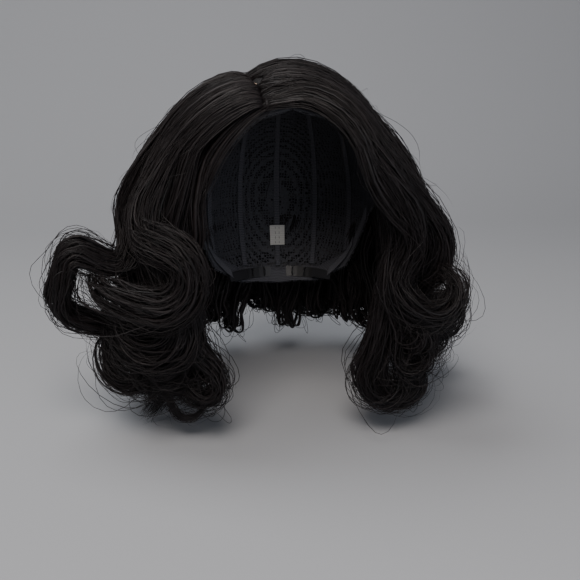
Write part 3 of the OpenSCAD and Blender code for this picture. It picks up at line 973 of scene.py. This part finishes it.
def grid_over(name, a0, a1, na, low, high, nt, depth):
    """A grid over the head between two azimuths and two latitudes, with its UV in millimetres."""
    mesh = bpy.data.meshes.new(name)
    bm = bmesh.new()
    bmesh.ops.create_grid(bm, x_segments=na, y_segments=nt, size=0.5)
    co = np.array([v.co for v in bm.verts])
    a = a0 + (a1 - a0) * (co[:, 0] + 0.5)
    t = low(a) + (high(a) - low(a)) * (co[:, 1] + 0.5)
    middle = over(np.linspace(a0, a1, 40), np.full(40, float(np.mean(t))), 0)
    length = np.linalg.norm(np.diff(middle, axis=0), axis=1).sum()
    height = math.radians(float(np.mean(high(a) - low(a)))) * HEAD.mean()
    uv = bm.loops.layers.uv.new("UVMap")
    for face in bm.faces:
        face.smooth = True
        for loop in face.loops:
            loop[uv].uv = ((loop.vert.co.x + 0.5) * length, (loop.vert.co.y + 0.5) * height)
    for vert, place in zip(bm.verts, over(a, t, depth(a, t)) * MM):
        vert.co = place
    bmesh.ops.remove_doubles(bm, verts=bm.verts, dist=1e-6)
    # The walls are added outwards, so the faces have to point away from the head
    bm.normal_update()
    outward = sum(face.normal.dot(face.calc_center_median()) for face in bm.faces)
    if outward < 0:
        bmesh.ops.reverse_faces(bm, faces=bm.faces)
    bm.to_mesh(mesh)
    bm.free()
    obj = bpy.data.objects.new(name, mesh)
    bpy.context.scene.collection.objects.link(obj)
    return obj


def above_edge(height):
    """The latitude that is a height in degrees above the cap's edge, as a function of azimuth."""
    return lambda a: edge(a) + height


def level(t):
    """The same latitude at every azimuth."""
    return lambda a: a * 0 + t


def tape(name, a0, a1, low, high, d, thick, material, slot, node, step=2.0, rows=4, crown=0.25):
    """A soft strip with a wall, rounded edges and a slight swell along its middle."""
    na = max(4, round((a1 - a0) / step))

    def depth(a, t):
        f = (t - low(a)) / (high(a) - low(a))
        return (d(a) if callable(d) else d) + thick * crown * (4 * f * (1 - f) - 0.5)

    obj = grid_over(name, a0, a1, na, low, high, rows, depth)
    wall = obj.modifiers.new("thickness", "SOLIDIFY")
    wall.thickness = thick * (1 - crown) * MM
    wall.offset = 1
    round_off = obj.modifiers.new("soft_edge", "BEVEL")
    round_off.width = thick * 0.25 * MM
    round_off.segments = 2
    round_off.limit_method = "ANGLE"
    round_off.angle_limit = math.radians(50)
    obj.data.materials.append(material)
    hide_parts(node)
    return obj


def stitches(name, rows, radius, material):
    """Rows of thread stitches. A row has points in millimetres and the outward way at each."""
    outline = profile(name + "_outline", ring(5))
    # Along a stitch: where its points stand, and the share of its bow that each rises
    at = np.array((0.06, 0.2, 0.5, 0.8, 0.94))[None, :, None]
    rise = np.array((-0.2, 0.6, 1, 0.6, -0.2))[None, :, None]
    lines, radii = [], []
    for points, lift in rows:
        outward = unit(points / HEAD ** 2)
        start, end = points[:-1], points[1:]
        bow = (outward[:-1] + outward[1:]) / 2 * lift
        lines.append(start[:, None] * (1 - at) + end[:, None] * at + bow[:, None] * rise)
        radii.append(np.tile(np.array((0, 1, 1, 1, 0)) * radius, (len(start), 1)))
    lines, radii = np.vstack(lines), np.vstack(radii)
    no_tilt, one_shade = np.zeros(lines.shape[:2]), np.full(len(lines), 0.5)
    obj = sweep(name, outline, [(lines, radii, no_tilt, one_shade)])
    bpy.data.objects.remove(outline)
    obj.data.materials.append(material)
    return obj


def along_band(a0, a1, t, d, pitch):
    """Points along the head at an even spacing, at a latitude that may follow the azimuth."""
    a = np.linspace(a0, a1, 400)
    p = over(a, t(a), d)
    s = np.concatenate([[0], np.cumsum(np.linalg.norm(np.diff(p, axis=0), axis=1))])
    at = np.interp(np.arange(0, s[-1], pitch), s, a)
    return over(at, t(at), d)


class WIG_OT_crown_base(bpy.types.Operator):
    """Adds the dark layer of root hair that covers the net under the locks."""

    bl_idname = "wig.crown_base"
    bl_label = "Crown base"

    def execute(self, context):
        # Over most of the crown the roots lie high, and where the strip shows they dip under it
        high, low = HAIR_D + 0.6, 3.0

        def depth(a, t):
            p = over(a, t, 0)[:, :2] - PART_FRONT
            f = (p @ PART_RUN) / (PART_RUN @ PART_RUN)
            gap = np.linalg.norm(p - np.clip(f, 0, 1)[:, None] * PART_RUN, axis=1)
            shown = in_window(f) * (1 - ease((gap - 1.5) / 3))
            return high - (high - low) * shown

        obj = grid_over("crown_base_hair", 0, 360, 180, lambda a: np.maximum(edge(a) + 1, -20),
                        level(90), 60, depth)
        obj.data.materials.append(hair_fibre("root_hair_modacrylic", 500, 3))
        solid = obj.modifiers.new("thickness", "SOLIDIFY")
        solid.thickness = 0.3 * MM
        solid.offset = 1
        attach(obj, "cap")
        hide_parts(*[f"crown_hair_{part}_{word}" for part in ("front", "side", "back")
                           for word in ("left", "right")], "crown_hair_top")
        return {"FINISHED"}


class WIG_OT_cap_net(bpy.types.Operator):
    """Adds the stretch net dome that everything is sewn to."""

    bl_idname = "wig.cap_net"
    bl_label = "Cap net"

    def execute(self, context):
        obj = grid_over("crown_stretch_net", 0, 360, 180, edge, level(90), 48,
                        lambda a, t: a * 0 + NET_D)
        wall = obj.modifiers.new("thickness", "SOLIDIFY")
        wall.thickness = 0.45 * MM
        wall.offset = 1
        obj.data.materials.append(stretch_net())
        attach(obj, "cap")
        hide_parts("crown_net")
        return {"FINISHED"}


class WIG_OT_cap_tapes(bpy.types.Operator):
    """Adds the bindings, the elastics, the ribs and the weft rows, with their stitches."""

    bl_idname = "wig.cap_tapes"
    bl_label = "Cap tapes"

    def execute(self, context):
        colours = context.scene.wig_colours
        # Woven on the bias: a fine diagonal grain, quite matt, with painted shade in the grain's
        # low lines
        binding = cloth("woven_polyester_binding", colours.tape, (0.9, 0.9), 0.8, 0.785)
        # Knitted over rubber: ribs across the band, and a slight shine on each rib, with painted
        # shade between the ribs
        elastic = cloth("knitted_ribbed_elastic", colours.elastic, (0.8, 1.1), 0.7)
        # Hair ends folded and machine sewn: ridges at the pitch of the stitch, with painted shade
        # between the ridges
        weft = cloth("folded_machine_weft", colours.weft, (1.1, 4), 0.6)
        # Brushed tricot: a raised nap, with no shine but a soft pale edge, and painted shade in
        # the low places of the nap
        velvet = cloth("brushed_tricot_strip", colours.tricot, (1.3, 1.3), 0.95, 0.5, 0.4, 0.06)
        made = [
            tape("front_binding_tape", -60, 60, edge, above_edge(BINDING_H), TRACK_D, TAPE_THICK,
                 binding, "binding_tape", "front_binding"),
            tape("forehead_comfort_strip", -42, 42, above_edge(0.5), above_edge(8), ELASTIC_D,
                 ELASTIC_THICK, velvet, "elastic", "comfort_strip"),
            tape("nape_elastic", 114, 246, above_edge(0.3), above_edge(6.3), ELASTIC_D,
                 ELASTIC_THICK, elastic, "elastic", "nape_band"),
        ]
        for side, word in ((1, "left"), (-1, "right")):
            ends = sorted((82 * side, 112 * side))
            made.append(tape("ear_binding_tape_" + word, *ends, edge, above_edge(BINDING_H),
                             TRACK_D, TAPE_THICK, binding, "binding_tape", "ear_binding_" + word))
        for i, mid in enumerate(RIBS):
            made.append(tape(f"back_rib_elastic_{i + 1}", mid - RIB_HALF, mid + RIB_HALF,
                             above_edge(7.4), level(RIB_TOP), ELASTIC_D, ELASTIC_THICK, elastic,
                             "elastic", f"back_rib_{i + 1}", 0.9, 40, 0.0))
        for word, rows in (("back", BACK_ROWS), ("crown", CROWN_ROWS)):
            for i, (t, start) in enumerate(rows):
                ends = (start, 360 - start) if start else TOP_ROW_ENDS
                made.append(tape(f"{word}_weft_row_{i + 1}", *ends, level(t - ROW_HALF),
                                 level(t + ROW_HALF), TRACK_D, TAPE_THICK, weft, "weft_tape",
                                 f"{word}_weft_track_{i + 1}"))
        for obj in made:
            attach(obj, "cap")
        # Each row of stitches has its points and its bow, which is inwards on the elastics
        inside, bow = ELASTIC_D - 0.15, 0.25
        rows = []
        for a0, a1, heights in ((-41, 41, (1.3, 7.2)), (115, 245, (1.1, 5.6))):
            for height in heights:
                rows.append((along_band(a0, a1, above_edge(height), inside, 2.6), -bow))
        for mid in RIBS:
            t = np.arange(edge(mid) + 8, RIB_TOP - 0.5, 2.0)
            for off in (-1.3, 1.3):
                rows.append((over(mid + off + t * 0, t, inside), -bow))
        for height in (1.0, 2.4):
            rows.append((along_band(-59, 59, above_edge(height), TRACK_D + 1.3, 2.4), bow))
        # Spun and twisted thread: it catches a little more light than the tape, and has painted
        # shade between its twists
        thread = cloth("spun_polyester_thread", colours.elastic, (0.4, 0.4), 0.6)
        seams = stitches("cap_seam_stitches", rows, 0.22, thread)
        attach(seams, "cap")
        return {"FINISHED"}


class WIG_OT_parting_strip(bpy.types.Operator):
    """Adds the pale strip that shows between the roots."""

    bl_idname = "wig.parting_strip"
    bl_label = "Parting strip"

    def execute(self, context):
        mesh = bpy.data.meshes.new("parting_skin_strip")
        bm = bmesh.new()
        bmesh.ops.create_grid(bm, x_segments=8, y_segments=48, size=0.5)
        half_width, swell = 4.5, 0.25
        for v in bm.verts:
            f, side = v.co.y + 0.5, v.co.x * 2
            p = PART_FRONT + PART_RUN * (0.03 + 0.97 * f) - PART_ACROSS * side * half_width
            v.co = Vector((p[0], p[1], crown_height(p, PATCH_D) + swell * (1 - side ** 4))) * MM
        bm.normal_update()
        for face in bm.faces:
            face.smooth = True
        if sum(face.normal.z for face in bm.faces) < 0:
            bmesh.ops.reverse_faces(bm, faces=bm.faces)
        bm.to_mesh(mesh)
        bm.free()
        obj = bpy.data.objects.new("parting_skin_strip", mesh)
        context.scene.collection.objects.link(obj)
        wall = obj.modifiers.new("thickness", "SOLIDIFY")
        wall.thickness = 0.35 * MM
        wall.offset = 1
        mesh.materials.append(skin_strip())
        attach(obj, "cap")
        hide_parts("parting_patch")
        return {"FINISHED"}


def tab_bottom(a, inset=0.0):
    """The latitude of an ear tab's rounded lower edge."""
    return TAB_TOP - TAB_H + inset + 0.5 * TAB_H * ((np.abs(a) - TAB_MID) / TAB_HALF) ** 2


class WIG_OT_ear_tabs(bpy.types.Operator):
    """Adds the three layers of each ear tab, with its stitched edge."""

    bl_idname = "wig.ear_tabs"
    bl_label = "Ear tabs"

    def execute(self, context):
        colours = context.scene.wig_colours
        # Brushed tricot: a raised nap, with no shine but a soft pale edge, and painted shade in
        # the low places of the nap
        tricot = cloth("brushed_black_tricot", colours.tricot, (1.0, 1.0), 0.95, 0.5, 0.5, 0.06)
        # Soft rolled aluminium, cut to length: satin, with a blurred reflection
        metal = hard_part("annealed_aluminium_stay", colours.metal, 0.42, 1.0)
        thread = cloth("tab_stitching_thread", colours.elastic, (0.4, 0.4), 0.6)
        for side, word in ((1, "left"), (-1, "right")):
            for layer, half, inset, d, thick, material, slot in (
                    ("lining", TAB_HALF, 0, ELASTIC_D, ELASTIC_THICK, tricot, "tab_cloth"),
                    ("stay", 1.6, 2, ELASTIC_D + 0.8, 0.5, metal, "stay_metal"),
                    ("cover", TAB_HALF, 0, ELASTIC_D + 1.6, ELASTIC_THICK, tricot, "tab_cloth")):
                ends = sorted(((TAB_MID - half) * side, (TAB_MID + half) * side))
                obj = tape(f"ear_tab_{layer}_{word}_piece", *ends,
                           lambda a, inset=inset: tab_bottom(a, inset), level(TAB_TOP), d, thick,
                           material, slot, f"ear_tab_{layer}_{word}", 0.8, 12, 0.0)
                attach(obj, "ear_tab_" + word)
            seam_half = TAB_HALF - 0.8
            a = np.linspace(TAB_MID - seam_half, TAB_MID + seam_half, 11) * side
            rim = over(a, tab_bottom(a) + 1.0, ELASTIC_D + 2.15)
            seam = stitches("ear_tab_stitches_" + word, [(rim, 0.3)], 0.2, thread)
            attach(seam, "ear_tab_" + word)
        return {"FINISHED"}


def strap_middle(a):
    """The latitude of an adjuster strap's middle."""
    return np.interp(np.abs(a), STRAP_A, STRAP_T)


def strap_depth(a):
    """How far off the head an adjuster strap lies: inside the cap, so less than nothing."""
    return -np.interp(np.abs(a), SUNK_A, SUNK_D) - STRAP_THICK


class WIG_OT_nape_adjusters(bpy.types.Operator):
    """Adds the elastic straps, and finishes the loops and the hooks."""

    bl_idname = "wig.nape_adjusters"
    bl_label = "Nape adjusters"

    def execute(self, context):
        colours = context.scene.wig_colours
        # Braided over rubber: a fine rib, and a slight shine on each rib, with painted shade
        # between the ribs
        elastic = cloth("braided_adjuster_elastic", colours.elastic, (0.7, 1.0), 0.7)
        # Dipped in nylon: an even satin skin over the wire
        wire = hard_part("nylon_coated_wire_loops", colours.hardware, 0.4)
        # Injection moulded: glossy, with the gloss broken by a fine grain
        hook = hard_part("moulded_acetal_hook", colours.hardware, 0.3)
        for side, word in ((1, "left"), (-1, "right")):
            ends = sorted(a * side for a in STRAP_ENDS)
            obj = tape(f"adjuster_elastic_{word}", *ends, lambda a: strap_middle(a) - STRAP_HALF,
                       lambda a: strap_middle(a) + STRAP_HALF, strap_depth, STRAP_THICK, elastic,
                       "elastic", f"adjuster_strap_{word}", 0.5, 6, 0.0)
            first, last = (over(a * side, strap_middle(a), -4.0) * MM for a in STRAP_ENDS)
            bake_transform(obj)
            for part, material in (("loops", wire), ("hook", hook)):
                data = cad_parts[f"adjuster_{part}_{word}"].data
                data.materials.clear()
                data.materials.append(material)
        return {"FINISHED"}


class WIG_OT_care_label(bpy.types.Operator):
    """Adds the blank satin label at the nape."""

    bl_idname = "wig.care_label"
    bl_label = "Care label"

    def execute(self, context):
        colours = context.scene.wig_colours
        # Woven satin: long floats give it a sheen along one way only; the floats are the label's
        # tone with painted shade between them
        satin = cloth("woven_satin_label", colours.label, (0.35, 1.2), 0.45, 0.0, 0.25, 0.2)
        obj = tape("blank_satin_label", 175, 185, level(-19), level(-11), ELASTIC_D - 0.5, 0.3,
                   satin, "label_satin", "care_label", 0.5, 16, 0.2)
        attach(obj, "cap")
        rows = [(along_band(175.6, 184.4, level(t), ELASTIC_D - 0.6, 1.6), -0.15)
                for t in (-18.4, -11.6)]
        thread = cloth("label_hem_thread", colours.label, (0.4, 0.4), 0.6)
        hem = stitches("label_hem_stitches", rows, 0.12, thread)
        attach(hem, "cap")
        return {"FINISHED"}


class WIG_OT_stage(bpy.types.Operator):
    """Adds the floor, the backdrop, the studio lights and the camera."""

    bl_idname = "wig.stage"
    bl_label = "Stage"

    def execute(self, context):
        # A level floor runs back under the wig, turns up on an arc and ends in a wall
        floor_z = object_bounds()[0][2] - 0.0005
        front_y, arc_y, radius, wall_height = -3, 0.6, 0.5, 4
        half_wide, arc_share = 4, 0.3
        mesh = bpy.data.meshes.new("studio_sweep")
        bm = bmesh.new()
        bmesh.ops.create_grid(bm, x_segments=2, y_segments=64, size=0.5)
        for v in bm.verts:
            x, f = v.co.x * 2 * half_wide, v.co.y * 2
            if f < 0:
                v.co = (x, arc_y + f * (arc_y - front_y), floor_z)
            else:
                turn = min(f / arc_share, 1) * math.pi / 2
                rise = radius * (1 - math.cos(turn)) + max(0, f - arc_share) * wall_height
                v.co = (x, arc_y + radius * math.sin(turn), floor_z + rise)
        for face in bm.faces:
            face.smooth = True
        bm.to_mesh(mesh)
        bm.free()
        sweep_obj = bpy.data.objects.new("studio_sweep", mesh)
        context.scene.collection.objects.link(sweep_obj)
        material, _, shader = new_material("matt_paper_sweep")
        # Dyed paper: dead matt, so it shows the wig's soft shadow and nothing else
        shader.inputs["Base Color"].default_value = context.scene.wig_colours.sweep
        shader.inputs["Roughness"].default_value = 0.9
        shader.inputs["Specular IOR Level"].default_value = 0.1
        mesh.materials.append(material)
        sweep_obj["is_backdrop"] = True

        target = Vector((0.003, 0, -0.051))
        az, el, dist = math.radians(-5), math.radians(18), 0.755
        place = target + dist * Vector((math.sin(az) * math.cos(el), -math.cos(az) * math.cos(el),
                                        math.sin(el)))
        data = bpy.data.cameras.new("camera")
        data.lens = 61.26
        data.sensor_width = 36
        camera = bpy.data.objects.new("camera", data)
        camera.location = place
        camera.rotation_euler = (target - place).to_track_quat("-Z", "Y").to_euler()
        context.scene.collection.objects.link(camera)
        context.scene.camera = camera

        for name, at, size, power, tint in (
                ("key_light", (-0.2, -0.9, 1.1), 0.7, 20, "#fff6ee"),
                ("fill_light", (0.55, -1.1, 0.1), 0.9, 6, "#eef3ff"),
                ("top_light", (-0.5, 0.2, 1.05), 0.8, 9, "#ffffff")):
            lamp = bpy.data.lights.new(name, "AREA")
            lamp.size = size
            lamp.energy = power
            lamp.color = linear(tint)[:3]
            obj = bpy.data.objects.new(name, lamp)
            obj.location = at
            obj.rotation_euler = (-Vector(at)).to_track_quat("-Z", "Y").to_euler()
            context.scene.collection.objects.link(obj)
        world = bpy.data.worlds.new("studio_air")
        world.use_nodes = True
        air = world.node_tree.nodes["Background"]
        air.inputs["Color"].default_value = linear("#c9ccd2")
        air.inputs["Strength"].default_value = 0.35
        context.scene.world = world
        return {"FINISHED"}


class WIG_PT_panel(bpy.types.Panel):
    """Lists the sizes, the colours and the steps that build the wig."""

    bl_idname = "WIG_PT_panel"
    bl_label = "Wig"
    bl_space_type = "VIEW_3D"
    bl_region_type = "UI"
    bl_category = "Wig"

    def draw(self, context):
        sizes = context.scene.wig_hair
        for name in ("lock_half_width", "strand_radius", "flyaway_radius"):
            self.layout.prop(sizes, name)
        for name in WigColours.__annotations__:
            self.layout.prop(context.scene.wig_colours, name)
        for operator in OPERATORS:
            self.layout.operator(operator.bl_idname)


OPERATORS = (WIG_OT_cap_net, WIG_OT_cap_tapes, WIG_OT_parting_strip, WIG_OT_ear_tabs,
             WIG_OT_nape_adjusters, WIG_OT_care_label, WIG_OT_crown_base, WIG_OT_side_hair,
             WIG_OT_back_hair, WIG_OT_stage)
CLASSES = (WigHairSizes, WigColours) + OPERATORS + (WIG_PT_panel,)


def register():
    for cls in CLASSES:
        bpy.utils.register_class(cls)
    bpy.types.Scene.wig_hair = bpy.props.PointerProperty(type=WigHairSizes)
    bpy.types.Scene.wig_colours = bpy.props.PointerProperty(type=WigColours)


def unregister():
    del bpy.types.Scene.wig_hair
    del bpy.types.Scene.wig_colours
    for cls in reversed(CLASSES):
        bpy.utils.unregister_class(cls)


def main():
    """Builds the whole wig."""
    register()
    for operator in OPERATORS:
        group, name = operator.bl_idname.split(".")
        getattr(getattr(bpy.ops, group), name)()


if __name__ == "__main__":
    main()
